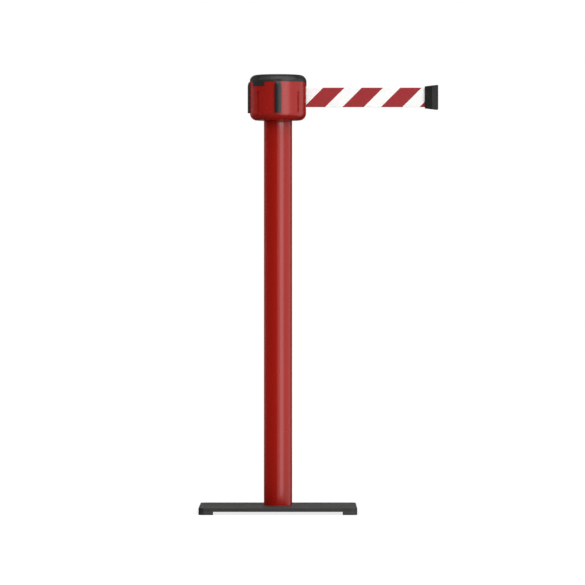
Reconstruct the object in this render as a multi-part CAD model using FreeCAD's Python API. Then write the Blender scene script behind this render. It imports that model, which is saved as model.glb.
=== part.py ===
import FreeCAD, Part
import math
import os

# Free-standing barrier post with a retractable striped belt.
# Millimetres. +Z is up, the belt leaves along +X and the front receiver faces -Y.
# The origin is the post's axis on the floor. Each size is named once, here.

# Base
BASE_SIDE = 350.0            # side of the square base plate
BASE_THICK = 8.5             # plate thickness
BASE_CORNER_R = 14.0         # radius of the plate's upright corners
BASE_EDGE_BREAK = 0.8        # small chamfer along the plate's top edge
FOOT_SIDE = 32.0             # side of each corner foot
FOOT_H = 7.0                 # height of each corner foot
FOOT_SINK_R = 5.2            # countersink in the foot
FOOT_SINK_DEPTH = 1.2        # straight part of the countersink, below the screw's head
FOOT_SCREW_R = 2.5
FOOT_HOLE_GAP = 0.1          # radial gap round the screw in its foot
FOOT_SCREW_IN_PLATE = 6.0
FOOT_KEY_R = 1.6             # hexagon socket, half of its width across flats
FOOT_KEY_DEPTH = 1.8
POST_BOLT_R = 5.0
POST_BOLT_GAP = 0.5          # radial gap round it in the plate
POST_SINK = 5.1              # width and depth of its 90 degree countersink, from below
POST_BOLT_SUNK = 0.2         # how far the bolt's head lies inside its countersink
POST_BOLT_SHORT = 4.0        # how far the bolt stops below the top of its plug
POST_KEY_R = 3.0
POST_KEY_DEPTH = 4.0

# Post
POST_R = 31.5                # outside radius of the tube
POST_WALL = 1.8              # wall of the tube
PLUG_H = 26.0                # height of the plug in the foot of the tube
PLUG_CHAMFER = 1.5
TOP_PLUG_H = 24.0            # height of the plug in the top of the tube
TOP_PLUG_WALL = 4.0          # wall of its hollow lower end
TOP_PLUG_HOLLOW = 8.0        # depth of that hollow

# Head
HEAD_Z = 873.5               # underside of the head above the floor
HEAD_R = 62.7                # outside radius of the red housing
HEAD_WALL = 3.2              # wall of the housing
HEAD_FILLET = 16.0           # radius round the underside of the housing
SOCKET_DEPTH = 14.5          # how far the tube enters the housing
SOCKET_GAP = 0.15            # radial gap round the tube in its socket
SOCKET_WALL = 3.5            # wall of the socket
FLOOR_THICK = 4.0            # floor of the housing over the tube

# Bolt that holds the head on the tube
HEAD_BOLT_R = 4.0
HEAD_BOLT_GAP = 0.3          # radial gap round it in the housing
HEAD_BOLT_DEPTH = 12.0       # how far the bolt reaches into the tube's plug
BUTTON_R = 7.0               # radius of the bolt's button head
BUTTON_H = 4.0
BUTTON_RIM = 0.6             # upright rim under the button's dome
HEAD_KEY_R = 2.4
HEAD_KEY_DEPTH = 2.6
WASHER_RIM = 2.0             # how far the washer stands out past the bolt's head
WASHER_T = 1.2
BUTTON_ROOM = 1.1            # gap between the bolt's head and the cassette above it

# Keyhole grooves in the housing
QUARTERS = (45.0, 135.0, 225.0, 315.0)
GROOVE_W = 4.0
GROOVE_DEPTH = 1.9
GROOVE_BOTTOM = 16.5         # above the underside of the head
GROOVE_DROP = 26.0           # from the seam under the cap down to the keyhole
KEYHOLE_R = 3.7
KEYHOLE_DEPTH = 2.3

# Belt mouth in the housing
MOUTH_SIDE = 0.2             # gap between the window's sides and the belt guide
MOUTH_UNDER = 0.3            # gap between the window's lower edge and the belt guide

# Cap
CAP_H = 16.5                 # height of the cap above the housing
CAP_LIP = 0.9                # how far the cap's rim stands out past the housing
CAP_RIM = 0.1                # upright part of the cap's side, under its rounded shoulder
CAP_WALL = 2.8
CAP_DISC_INSET = 3.0         # from the shoulder in to the raised disc's edge
CAP_DISC_STEP = 0.4          # height of the disc's edge
CAP_DOME = 0.4               # rise from the disc's edge to its middle
CAP_LEDGE = 1.0              # extra thickness inside, over the seam
CAP_SKIRT_H = 5.0            # how far the cap's inner skirt reaches into the housing
CAP_SKIRT_T = 2.0
CAP_SKIRT_GAP = 0.1
CAP_NOTCH_W = 7.0            # the four notches round the cap's shoulder
CAP_NOTCH_H = 5.5
CAP_NOTCH_DEPTH = 1.7
CAP_NOTCH_TILT = 33.0        # how far up the shoulder they face, in degrees
CAP_BOSS_R = 4.5
CAP_BOSS_OUT = 2.25          # from half way between spool and cassette edge out to a boss
CAP_BOSS_ANGLES = (25.0, 145.0, 265.0)

# Tabs that hang from the cap over the housing
CAP_TAB_DROP = 10.0          # how far a tab hangs below the cap's rim
CAP_TAB_HALF_DEG = 16.5      # half of the angle a latch tab spans
MOUTH_TAB_HALF_DEG = 9.0     # half of the angle the tab over the belt mouth spans
TAB_SINK = 1.2               # how deep the tabs are let into the housing
TAB_BACK_GAP = 0.15          # gap behind a tab
TAB_EDGE_GAP = 0.3           # gap below a tab
TAB_SIDE_GAP = 0.6           # gap at each side of a tab
TAB_OVERLAP = 1.0            # how far a tab runs up inside the cap

# Receiver rails for another post's belt end
RAIL_W = 14.5                # width of a rail's head
RAIL_PROUD = 5.0             # how far a rail stands out of the housing
RAIL_NECK_W = 9.0
RAIL_NECK_H = 2.0            # gap under the rail's head
RAIL_EDGE_H = 1.5            # thickness of the rail's head at its sides
RAIL_ROOT = 2.0              # how far the rail's section is drawn inside the housing's face
RAIL_BOTTOM = 16.5           # above the underside of the head
RAIL_TOP_GAP = 0.5           # gap between a rail and the cap
RAIL_LEAD = 8.0              # tapered lead-in at the top of a rail
RAIL_LEAD_SIDE = 0.6         # how far the taper cuts into the neck at the very top
RAIL_LEAD_FACE = 0.4         # thickness of the head left at the very top
RAIL_STOP_H = 1.0            # full section left at the foot of the rail
RAIL_SCREW_INSET = 14.0
RAIL_SKIN = 1.4              # thickness of the rail's face in front of a screw
RAIL_ANGLES = (("receiver_front", 270.0), ("receiver_left", 180.0), ("receiver_back", 90.0))
SPOT_RIM = 0.5               # how far the flats inside the housing go past the screws' heads
SPOT_CUT = 0.1               # how deep they are cut

# Belt
BELT_W = 43.4                # width of the webbing
BELT_T = 0.7                 # thickness of the webbing
BELT_AHEAD = 5.0             # from the rollers to where the straight webbing begins
BELT_OUT = 264.7             # from the head to the belt end, as it is pulled out here

# Belt cassette
CASSETTE_GAP = 4.5           # radial gap between the cassette and the housing
COIL_OUT_R = 30.5            # outside radius of the wound belt, at rest
WRAP_GAP = 0.3               # gap between the coil and the turn that is leaving it
WRAP_TURN = 1.4              # angle of that turn, in radians
SPOOL_RIM = 4.0              # how far the spool's flanges stand out past the coil
SPOOL_HUB_R = 14.6
SPOOL_SPIGOT_IN = 4.0        # how much the spigot for the upper flange is smaller than the hub
SPOOL_FLANGE = 1.6
SPOOL_WINDOW_R = 4.5         # three holes in the upper flange
SPOOL_WINDOW_PCR = 24.0
COIL_GAP = 0.1               # gap between the hub and the first turn
FLANGE_GAP = 1.1             # gap between the webbing and a spool flange
AXLE_R = 4.0
AXLE_FOOT_R = 3.0            # radius of the axle where it stands in the lower bush
AXLE_FOOT_GAP = 0.1          # end play under the axle
ARBOR_SLOT_W = 1.0           # slot in the axle for the spring's inner end
CROSS_PIN_R = 1.0            # pin through the spool and the axle
CROSS_PIN_SHORT = 0.5
RUNNING_GAP = 0.05           # radial clearance of every shaft that turns
BODY_GAP = 0.5               # gap between parts that move past each other
PLATE_T = 2.0                # cassette plates
BUSH_R = 6.5
BUSH_FLOOR = 0.6             # closed floor of the lower bush
ROLLER_R = 4.0
ROLLER_FRONT = 0.4           # gap between the rollers and the guide's front wall
ROLLER_SIDE = 0.55           # gap between the rollers and its side walls
PIN_R = 1.5
STAND_OFF_R = 3.5            # radius of the cassette's distance posts
STAND_OFF_INSET = 6.0        # from the cassette's edge in to their middle
STAND_OFF_ANGLES = (50.0, 165.0, 295.0)
STAND_OFF_TAP = 7.0          # depth of the threaded hole in each end
STAND_OFF_SCREW = 6.0        # how far its screw reaches in

# Belt guide
GUIDE_REACH = 2.0            # how far the belt guide reaches back past its rollers
GUIDE_WALL = 2.2
GUIDE_SIDE_WALL = 0.8
GUIDE_SNOUT_HALF = 5.4
GUIDE_SLOT_GAP = 1.15        # gap at each side of the webbing
GUIDE_CLEAR = 1.9            # gap between the guide's shoulder and the housing's inside
GUIDE_ROOF = 1.6             # wall over the webbing, up to the cap's tab
GUIDE_INSET = 0.8            # how far its front lies behind the housing's face
GUIDE_EDGE_GAP = 1.0         # gap above and below the webbing

# Power spring and its case
CASE_BOSS_GAP = 4.5          # gap between the spring's case and the cap's bosses
SPRING_STRIP = 8.0           # height of the power spring's strip
SPRING_T = 0.35
SPRING_TURNS = 13
SPRING_HUB_GAP = 1.0         # gap between the axle and the first turn
SPRING_RIM_GAP = 0.05
SPRING_TONGUE = 1.5          # how far its inner end crosses the axle's slot
SPRING_LIFT = 0.1            # gap under the strip
CASE_WALL = 1.2
CASE_EAR_R = 3.6
CASE_EAR_OUT = 2.5           # from the case's outside to the middle of an ear
CASE_EAR_START = 85.0        # direction of the first of three ears, in degrees
CASE_EAR_TAP = 8.0
CASE_EAR_SCREW = 6.0

# Belt end
CLIP_NEAR_OVER = 2.9         # how far it stands past the webbing's edges where that goes in
CLIP_FAR_OVER = 6.2          # and at its outer edge
CLIP_LENGTH = 29.7
CLIP_NEAR_T = 9.0            # thickness where the webbing goes in
CLIP_FAR_T = 22.0            # thickness round the channel
CLIP_SWELL = 16.0            # length over which it grows from one to the other
CLIP_BULGE = 3.2             # growth of each side half way along that length
CLIP_CORNER = 2.4            # radius of the outer corners
CLIP_EDGE = 1.2              # bevel along the outer upright edges
CHANNEL_GAP = 0.4            # clearance between a rail and the channel, on each side
CHANNEL_END = 0.3            # more clearance in front of the rail's face
CHANNEL_ROOF = 4.0           # closed top of the channel
CLIP_SLOT_GAP = 0.15         # gap at each side of the webbing
CLIP_SLOT_END = 0.4          # gap above and below the webbing
CLIP_BAR_R = 1.6
CLIP_BAR_X = 9.5             # from the near edge of the belt end to its cross bar
CLIP_BAR_END = 1.4           # how far the bar's pockets go past the webbing's edges
CLIP_BAR_PLAY = 0.1
LOOP_GAP = 0.15              # gap between the bar and the webbing's loop
LOOP_ROOM = 0.5              # radius left free round the loop
CLIP_SCREW_X = 16.6          # from the near edge to the screws
CLIP_SCREW_INSET = 7.7       # from the webbing's edges in to each screw
CLIP_SCREW_LENGTH = 11.6
CLIP_SCREW_SEAT = 4.4        # from the webbing's plane to the seat of a screw's head
CLIP_BORE_TIP = 8.0          # from that plane to the blind end of a screw's hole
CLIP_SINK_OUT = 12.4         # from that plane to beyond the clip's face

# Screws
SCREW_R = 1.4
SCREW_HOLE_GAP = 0.2
SCREW_HEAD_R = 2.7
SCREW_HEAD_H = 1.8
SCREW_HEAD_GAP = 0.2         # radial gap round a head in its pocket
CROSS_HALF_W = 0.4           # cross recess in a screw's head
CROSS_HALF_L = 1.6
CROSS_DEPTH = 0.9
CASSETTE_SCREW_LENGTH = 6.0  # how far the cap's screws reach into their bosses
HOLE_SPARE = 0.5             # blind holes are this much deeper than their screws

# Drawing
PAST = 1.0                   # how far a cutting shape reaches past what it cuts
TINY = 1e-3                  # two lengths nearer than this are the same
UPRIGHT = 0.99               # least upward part of an upright edge's direction

# What follows is worked out from the sizes above.

# Holes and seats
FOOT_HOLE_R = FOOT_SCREW_R + FOOT_HOLE_GAP
PLATE_HOLE_R = POST_BOLT_R + POST_BOLT_GAP
PLATE_SINK_R = PLATE_HOLE_R + POST_SINK
HEAD_BOLT_HOLE_R = HEAD_BOLT_R + HEAD_BOLT_GAP
SCREW_HOLE_R = SCREW_R + SCREW_HOLE_GAP

# Heights of the webbing in the head: the bolt, a plate and a flange lie under it
SPOOL_ROOM = FLANGE_GAP + SPOOL_FLANGE + BODY_GAP
BELT_UNDER = SOCKET_DEPTH + FLOOR_THICK + WASHER_T + BUTTON_H + BUTTON_ROOM + PLATE_T + SPOOL_ROOM
BELT_LOW = HEAD_Z + BELT_UNDER
BELT_HIGH = BELT_LOW + BELT_W
BELT_Z = (BELT_LOW + BELT_HIGH) / 2

# Heights of the rest
PLATE_TOP = FOOT_H + BASE_THICK
SOCKET_TOP = HEAD_Z + SOCKET_DEPTH
HEAD_FLOOR = SOCKET_TOP + FLOOR_THICK
SEAM_Z = BELT_HIGH + GUIDE_EDGE_GAP + GUIDE_ROOF + CAP_TAB_DROP
CAP_TOP = SEAM_Z + CAP_H
CAP_SHELF = CAP_TOP - CAP_DOME - CAP_DISC_STEP
FLANGE_LOW_TOP = BELT_LOW - FLANGE_GAP
FLANGE_HIGH = BELT_HIGH + FLANGE_GAP
LOWER_PLATE_TOP = BELT_LOW - SPOOL_ROOM
LOWER_PLATE = LOWER_PLATE_TOP - PLATE_T
UPPER_PLATE = BELT_HIGH + SPOOL_ROOM
CASE_Z = UPPER_PLATE + PLATE_T
CASE_TOP = CASE_Z + CASE_WALL + SPRING_STRIP + 2 * BODY_GAP
RAIL_LENGTH = SEAM_Z - HEAD_Z - RAIL_BOTTOM - RAIL_TOP_GAP

# Radii and places in plan, from the housing inwards
TUBE_IN_R = POST_R - POST_WALL
HEAD_IN_R = HEAD_R - HEAD_WALL
CAP_R = HEAD_R + CAP_LIP
CAP_FILLET = CAP_SHELF - SEAM_Z - CAP_RIM
CAP_KNEE_X = CAP_R - CAP_FILLET
CAP_KNEE_Z = CAP_SHELF - CAP_FILLET
CAP_DISC_R = CAP_KNEE_X - CAP_DISC_INSET
CASSETTE_R = HEAD_IN_R - CASSETTE_GAP
SPOOL_R = COIL_OUT_R + SPOOL_RIM
CAP_BOSS_PCR = (SPOOL_R + CASSETTE_R) / 2 + CAP_BOSS_OUT
STAND_OFF_PCR = CASSETTE_R - STAND_OFF_INSET
SPRING_CASE_R = CAP_BOSS_PCR - CAP_BOSS_R - CASE_BOSS_GAP
GUIDE_SHOULDER = HEAD_IN_R - GUIDE_CLEAR
ROLLER_X = GUIDE_SHOULDER - GUIDE_WALL - ROLLER_FRONT - ROLLER_R
ROLLER_Y = ROLLER_R + WRAP_GAP + BELT_T / 2
GUIDE_BACK = ROLLER_X - ROLLER_R - GUIDE_REACH
GUIDE_HALF = ROLLER_Y + ROLLER_R + ROLLER_SIDE + GUIDE_SIDE_WALL
MOUTH_HALF = GUIDE_SNOUT_HALF + MOUTH_SIDE
BELT_START = ROLLER_X + BELT_AHEAD

# The belt end, from the webbing outwards
CLIP_NEAR_H = BELT_W + 2 * CLIP_NEAR_OVER
CLIP_FAR_H = BELT_W + 2 * CLIP_FAR_OVER
CLIP_NEAR_X = HEAD_R + BELT_OUT
CLIP_END_X = CLIP_NEAR_X + CLIP_LENGTH
CLIP_SLOT_HALF = BELT_T / 2 + CLIP_SLOT_GAP


# ---------------------------------------------------------------- shapes the parts share

def vec(x, y, z=0.0):
    return FreeCAD.Vector(x, y, z)


def cylinder(radius, low, high, x=0.0, y=0.0):
    return Part.makeCylinder(radius, high - low, vec(x, y, low))


def bore(radius, low, high, x=0.0, y=0.0):
    """Cylinder that cuts right through what lies between two heights."""
    return cylinder(radius, low - PAST, high + PAST, x, y)


def ring(outer, inner, low, high, x=0.0, y=0.0):
    return cylinder(outer, low, high, x, y).cut(bore(inner, low, high, x, y))


def cone(low_r, high_r, low, high, x=0.0, y=0.0):
    return Part.makeCone(low_r, high_r, high - low, vec(x, y, low))


def block(x0, x1, y0, y1, z0, z1):
    return Part.makeBox(x1 - x0, y1 - y0, z1 - z0, vec(x0, y0, z0))


def outline(steps):
    """Closed face from points; a step with two points is an arc's middle and end."""
    edges = []
    here = steps[0]
    for step in steps[1:] + [steps[0]]:
        if isinstance(step, tuple):
            edges.append(Part.Arc(here, step[0], step[1]).toShape())
            here = step[1]
        elif (step - here).Length > TINY:
            edges.append(Part.LineSegment(here, step).toShape())
            here = step
    return Part.Face(Part.Wire(edges))


def turned(steps):
    """Solid of revolution about Z from an outline in the XZ plane."""
    return outline(steps).revolve(vec(0, 0), vec(0, 0, 1), 360)


def arc_about(cx, cz, radius, start_deg, end_deg):
    """Middle and end point of an arc in the XZ plane."""
    points = []
    for angle in ((start_deg + end_deg) / 2, end_deg):
        turn = math.radians(angle)
        points.append(vec(cx + radius * math.cos(turn), 0, cz + radius * math.sin(turn)))
    return tuple(points)


def on_circle(radius, degrees):
    turn = math.radians(degrees)
    return radius * math.cos(turn), radius * math.sin(turn)


def about_z(shape, degrees):
    copy = shape.copy()
    copy.rotate(vec(0, 0), vec(0, 0, 1), degrees)
    return copy


def lying(shape, x, y, z, direction):
    """Moves a shape drawn upwards from the origin so that it points along a direction."""
    copy = shape.copy()
    turn = FreeCAD.Rotation(vec(0, 0, 1), direction)
    copy.Placement = FreeCAD.Placement(vec(x, y, z), turn)
    return copy


def upside_down(shape, x, y, z):
    copy = shape.copy()
    copy.rotate(vec(0, 0), vec(1, 0), 180)
    copy.translate(vec(x, y, z))
    return copy


def upright_edges(shape):
    return [edge for edge in shape.Edges if abs(edge.tangentAt(0).z) > UPRIGHT]


def save(name, shape):
    shape.exportStep("parts/" + name + ".step")


def save_group(name, shapes):
    save(name, Part.makeCompound(shapes))


def sector(outer, inner, low, high, middle_deg, half_deg):
    """Part of a ring, centred on an angle."""
    whole = Part.makeCylinder(outer, high - low, vec(0, 0, low), vec(0, 0, 1), 2 * half_deg)
    whole = about_z(whole, middle_deg - half_deg)
    return whole.cut(bore(inner, low, high))


def hex_prism(flat_r, low, high, x=0.0, y=0.0):
    corner_r = flat_r / math.cos(math.pi / 6)
    points = []
    for k in range(6):
        dx, dy = on_circle(corner_r, 60 * k)
        points.append(vec(x + dx, y + dy, low))
    return outline(points).extrude(vec(0, 0, high - low))


def pan_screw(length):
    """Pan-head screw pointing up, its head below the origin, with a cross recess."""
    head = cylinder(SCREW_HEAD_R, -SCREW_HEAD_H, 0)
    rim = [edge for edge in head.Edges if edge.BoundBox.ZMax < TINY - SCREW_HEAD_H]
    head = head.makeFillet(SCREW_HEAD_H / 2, rim)
    recess_top = CROSS_DEPTH - SCREW_HEAD_H
    recess_low = -SCREW_HEAD_H - PAST
    one = block(-CROSS_HALF_W, CROSS_HALF_W, -CROSS_HALF_L, CROSS_HALF_L, recess_low, recess_top)
    shank = cylinder(SCREW_R, -SCREW_HEAD_H / 2, length)
    return head.fuse(shank).cut(one).cut(about_z(one, 90))


# ---------------------------------------------------------------- base

def base_plate():
    """Square steel plate with rounded corners, one sunk hole for the post's bolt."""
    half = BASE_SIDE / 2
    plate = block(-half, half, -half, half, FOOT_H, PLATE_TOP)
    plate = plate.makeFillet(BASE_CORNER_R, upright_edges(plate))
    rim = [edge for edge in plate.Edges if edge.BoundBox.ZMin > PLATE_TOP - TINY]
    plate = plate.makeChamfer(BASE_EDGE_BREAK, rim)
    plate = plate.cut(bore(PLATE_HOLE_R, FOOT_H, PLATE_TOP))
    sink_depth = PLATE_SINK_R - PLATE_HOLE_R
    plate = plate.cut(cone(PLATE_SINK_R, PLATE_HOLE_R, FOOT_H, FOOT_H + sink_depth))
    hole_end = FOOT_H + FOOT_SCREW_IN_PLATE + HOLE_SPARE
    for x, y in foot_centres():
        plate = plate.cut(cylinder(FOOT_SCREW_R, FOOT_H - PAST, hole_end, x, y))
    save("base_plate", plate)


def foot_centres():
    reach = BASE_SIDE / 2 - FOOT_SIDE / 2
    return [(-reach, -reach), (reach, -reach), (-reach, reach), (reach, reach)]


def corner_feet():
    """Square feet under the corners, each rounded with the plate and held by a sunk screw."""
    names = ("foot_front_left", "foot_front_right", "foot_back_left", "foot_back_right")
    half = FOOT_SIDE / 2
    taper = FOOT_SINK_R - FOOT_HOLE_R
    for name, (x, y) in zip(names, foot_centres()):
        foot = block(x - half, x + half, y - half, y + half, 0, FOOT_H)
        outer = vec(math.copysign(BASE_SIDE / 2, x), math.copysign(BASE_SIDE / 2, y))
        corner = []
        for edge in upright_edges(foot):
            end = edge.Vertexes[0]
            if (vec(end.X, end.Y) - outer).Length < TINY:
                corner.append(edge)
        foot = foot.makeFillet(BASE_CORNER_R, corner)
        foot = foot.cut(bore(FOOT_HOLE_R, 0, FOOT_H, x, y))
        foot = foot.cut(cylinder(FOOT_SINK_R, -PAST, FOOT_SINK_DEPTH, x, y))
        foot = foot.cut(cone(FOOT_SINK_R, FOOT_HOLE_R, FOOT_SINK_DEPTH, FOOT_SINK_DEPTH + taper, x, y))
        save(name, foot)


def foot_screws():
    """Countersunk screws that hold the feet to the plate."""
    screws = []
    taper = FOOT_SINK_R - FOOT_SCREW_R
    low = FOOT_SINK_DEPTH
    for x, y in foot_centres():
        head = cone(FOOT_SINK_R, FOOT_SCREW_R, low, low + taper, x, y)
        shank = cylinder(FOOT_SCREW_R, low, FOOT_H + FOOT_SCREW_IN_PLATE, x, y)
        key = hex_prism(FOOT_KEY_R, low - PAST, low + FOOT_KEY_DEPTH, x, y)
        screws.append(head.fuse(shank).cut(key))
    save_group("foot_screws", screws)


def post_bolt():
    """Countersunk bolt from under the plate into the tube's foot plug."""
    head_r = PLATE_SINK_R - POST_BOLT_SUNK
    low = FOOT_H + POST_BOLT_SUNK
    head = cone(head_r, POST_BOLT_R, low, low + head_r - POST_BOLT_R)
    shank = cylinder(POST_BOLT_R, low, PLATE_TOP + PLUG_H - POST_BOLT_SHORT)
    key = hex_prism(POST_KEY_R, low - PAST, low + POST_KEY_DEPTH)
    save("post_bolt", head.fuse(shank).cut(key))


def bottom_plug():
    """Round steel plug welded in the foot of the tube, tapped for the post's bolt."""
    top = PLATE_TOP + PLUG_H
    plug = cylinder(TUBE_IN_R, PLATE_TOP, top)
    rim = [edge for edge in plug.Edges if edge.BoundBox.ZMin > top - TINY]
    plug = plug.makeChamfer(PLUG_CHAMFER, rim)
    save("bottom_plug", plug.cut(bore(POST_BOLT_R, PLATE_TOP, top)))


# ---------------------------------------------------------------- post

def post_tube():
    """Plain painted tube from the plate up into the head."""
    save("post_tube", ring(POST_R, TUBE_IN_R, PLATE_TOP, SOCKET_TOP))


def top_plug():
    """Plug in the top of the tube, tapped for the head's bolt, hollow below."""
    low = SOCKET_TOP - TOP_PLUG_H
    plug = cylinder(TUBE_IN_R, low, SOCKET_TOP)
    plug = plug.cut(cylinder(TUBE_IN_R - TOP_PLUG_WALL, low - PAST, low + TOP_PLUG_HOLLOW))
    save("top_plug", plug.cut(bore(HEAD_BOLT_R, low, SOCKET_TOP)))


def head_bolt():
    """Button-head bolt and washer that pull the housing down on the tube."""
    seat = HEAD_FLOOR + WASHER_T
    top = seat + BUTTON_H
    washer_r = BUTTON_R + WASHER_RIM
    save("head_washer", ring(washer_r, HEAD_BOLT_HOLE_R, HEAD_FLOOR, seat))
    dome = turned([
        vec(0, 0, seat),
        vec(BUTTON_R, 0, seat),
        vec(BUTTON_R, 0, seat + BUTTON_RIM),
        (vec(BUTTON_R * 0.72, 0, seat + BUTTON_H * 0.75), vec(BUTTON_R * 0.37, 0, top)),
        vec(0, 0, top),
    ])
    shank = cylinder(HEAD_BOLT_R, SOCKET_TOP - HEAD_BOLT_DEPTH, seat + BUTTON_RIM)
    key = hex_prism(HEAD_KEY_R, top - HEAD_KEY_DEPTH, top + PAST)
    save("head_bolt", dome.fuse(shank).cut(key))


# ---------------------------------------------------------------- housing

def housing_body():
    """Cup of the head with a rounded underside and a socket for the tube."""
    socket_r = POST_R + SOCKET_GAP
    boss_r = socket_r + SOCKET_WALL
    centre_x = HEAD_R - HEAD_FILLET
    centre_z = HEAD_Z + HEAD_FILLET
    return turned([
        vec(socket_r, 0, HEAD_Z),
        vec(centre_x, 0, HEAD_Z),
        arc_about(centre_x, centre_z, HEAD_FILLET, -90, 0),
        vec(HEAD_R, 0, SEAM_Z),
        vec(HEAD_IN_R, 0, SEAM_Z),
        vec(HEAD_IN_R, 0, centre_z),
        arc_about(centre_x, centre_z, HEAD_FILLET - HEAD_WALL, 0, -90),
        vec(boss_r, 0, HEAD_Z + HEAD_WALL),
        vec(boss_r, 0, HEAD_FLOOR),
        vec(HEAD_BOLT_HOLE_R, 0, HEAD_FLOOR),
        vec(HEAD_BOLT_HOLE_R, 0, SOCKET_TOP),
        vec(socket_r, 0, SOCKET_TOP),
    ])


def outward(radius, depth, from_r, z):
    """Cylinder lying along +X, from a distance off the axis outwards."""
    return lying(cylinder(radius, 0, depth), from_r, 0, z, vec(1, 0))


def keyhole_groove(degrees):
    """Upright groove with a round pocket at its top and a round end below."""
    half = GROOVE_W / 2
    low = HEAD_Z + GROOVE_BOTTOM + half
    high = SEAM_Z - GROOVE_DROP
    slot = block(HEAD_R - GROOVE_DEPTH, HEAD_R + PAST, -half, half, low, high)
    end = outward(half, GROOVE_DEPTH + PAST, HEAD_R - GROOVE_DEPTH, low)
    pocket = outward(KEYHOLE_R, KEYHOLE_DEPTH + PAST, HEAD_R - KEYHOLE_DEPTH, high)
    return about_z(slot.fuse(end).fuse(pocket), degrees)


def rail_screw_heights():
    low = HEAD_Z + RAIL_BOTTOM + RAIL_SCREW_INSET
    high = HEAD_Z + RAIL_BOTTOM + RAIL_LENGTH - RAIL_LEAD - RAIL_SCREW_INSET
    return (low, high)


def receiver_screw_seats():
    """Holes through the housing for the receivers' screws, each with a flat inside."""
    seats = []
    flat_from = HEAD_IN_R + SPOT_CUT - SCREW_HEAD_R - PAST
    for name, degrees in RAIL_ANGLES:
        for z in rail_screw_heights():
            hole = outward(SCREW_HOLE_R, HEAD_WALL + 2 * PAST, HEAD_IN_R - PAST, z)
            flat = outward(SCREW_HEAD_R + SPOT_RIM, SCREW_HEAD_R + PAST, flat_from, z)
            seats.append(about_z(hole.fuse(flat), degrees))
    return seats


def head_housing():
    """Moulded housing with the belt mouth, the grooves and the receivers' screw holes."""
    body = housing_body()
    low = LOWER_PLATE_TOP - MOUTH_UNDER
    window = block(GUIDE_SHOULDER - PAST, HEAD_R + PAST, -MOUTH_HALF, MOUTH_HALF, low, SEAM_Z + PAST)
    body = body.cut(window)
    for degrees in QUARTERS:
        body = body.cut(keyhole_groove(degrees))
    for seat in receiver_screw_seats():
        body = body.cut(seat)
    for tab_low, half_deg, middle in cap_tabs():
        relief = sector(HEAD_R + PAST, HEAD_R - TAB_SINK, tab_low, SEAM_Z + PAST, middle, half_deg)
        body = body.cut(relief)
    save("head_housing", body)


def cap_tabs():
    """Low edge, half angle and middle angle of each recess for a tab of the cap."""
    low = SEAM_Z - CAP_TAB_DROP
    return (
        (low, CAP_TAB_HALF_DEG, 225.0),
        (low, CAP_TAB_HALF_DEG, 45.0),
        (low, MOUTH_TAB_HALF_DEG, 0.0),
    )


# ---------------------------------------------------------------- receivers

def rail_blank(length):
    """T-shaped rail along +Z with a rounded face, standing on the housing along +X."""
    foot = HEAD_R - RAIL_ROOT
    under = HEAD_R + RAIL_NECK_H
    shoulder = under + RAIL_EDGE_H
    face = HEAD_R + RAIL_PROUD
    neck = RAIL_NECK_W / 2
    half = RAIL_W / 2
    section = outline([
        vec(foot, -neck),
        vec(under, -neck),
        vec(under, -half),
        vec(shoulder, -half),
        (vec(face, 0), vec(shoulder, half)),
        vec(under, half),
        vec(under, neck),
        vec(foot, neck),
    ])
    return section.extrude(vec(0, 0, length))


def rail_lead_cut(length):
    """Wedges that taper a rail's top end from both sides and from its face."""
    top = length + PAST
    start = length - RAIL_LEAD
    half = RAIL_W / 2
    wide = half + RAIL_W
    root = HEAD_R - RAIL_ROOT - PAST
    face = HEAD_R + RAIL_PROUD
    far = face + RAIL_PROUD
    cuts = []
    for side in (-1, 1):
        points = [
            vec(root, side * (half + TINY), start),
            vec(root, side * wide, start),
            vec(root, side * wide, top),
            vec(root, side * (RAIL_NECK_W / 2 - RAIL_LEAD_SIDE), top),
        ]
        cuts.append(outline(points).extrude(vec(far - root, 0, 0)))
    points = [
        vec(face + TINY, -wide, start),
        vec(far, -wide, start),
        vec(far, -wide, top),
        vec(HEAD_R + RAIL_NECK_H + RAIL_LEAD_FACE, -wide, top),
    ]
    cuts.append(outline(points).extrude(vec(0, 2 * wide, 0)))
    return cuts[0].fuse(cuts[1]).fuse(cuts[2])


def receivers():
    """Three rails that take another post's belt end, each screwed on from inside."""
    screws = []
    depth = RAIL_PROUD - RAIL_SKIN
    seat = HEAD_IN_R + SPOT_CUT
    reach = HEAD_R + depth - seat
    for name, degrees in RAIL_ANGLES:
        rail = rail_blank(RAIL_LENGTH).cut(rail_lead_cut(RAIL_LENGTH))
        rail = rail.fuse(rail_blank(RAIL_STOP_H))
        rail.translate(vec(0, 0, HEAD_Z + RAIL_BOTTOM))
        rail = rail.cut(cylinder(HEAD_R, HEAD_Z, CAP_TOP))
        for z in rail_screw_heights():
            rail = rail.cut(outward(SCREW_R, reach + HOLE_SPARE, seat, z))
            screw = lying(pan_screw(reach), seat, 0, z, vec(1, 0))
            screws.append(about_z(screw, degrees))
        save(name, about_z(rail, degrees))
    save_group("receiver_screws", screws)


# ---------------------------------------------------------------- cap

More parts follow.
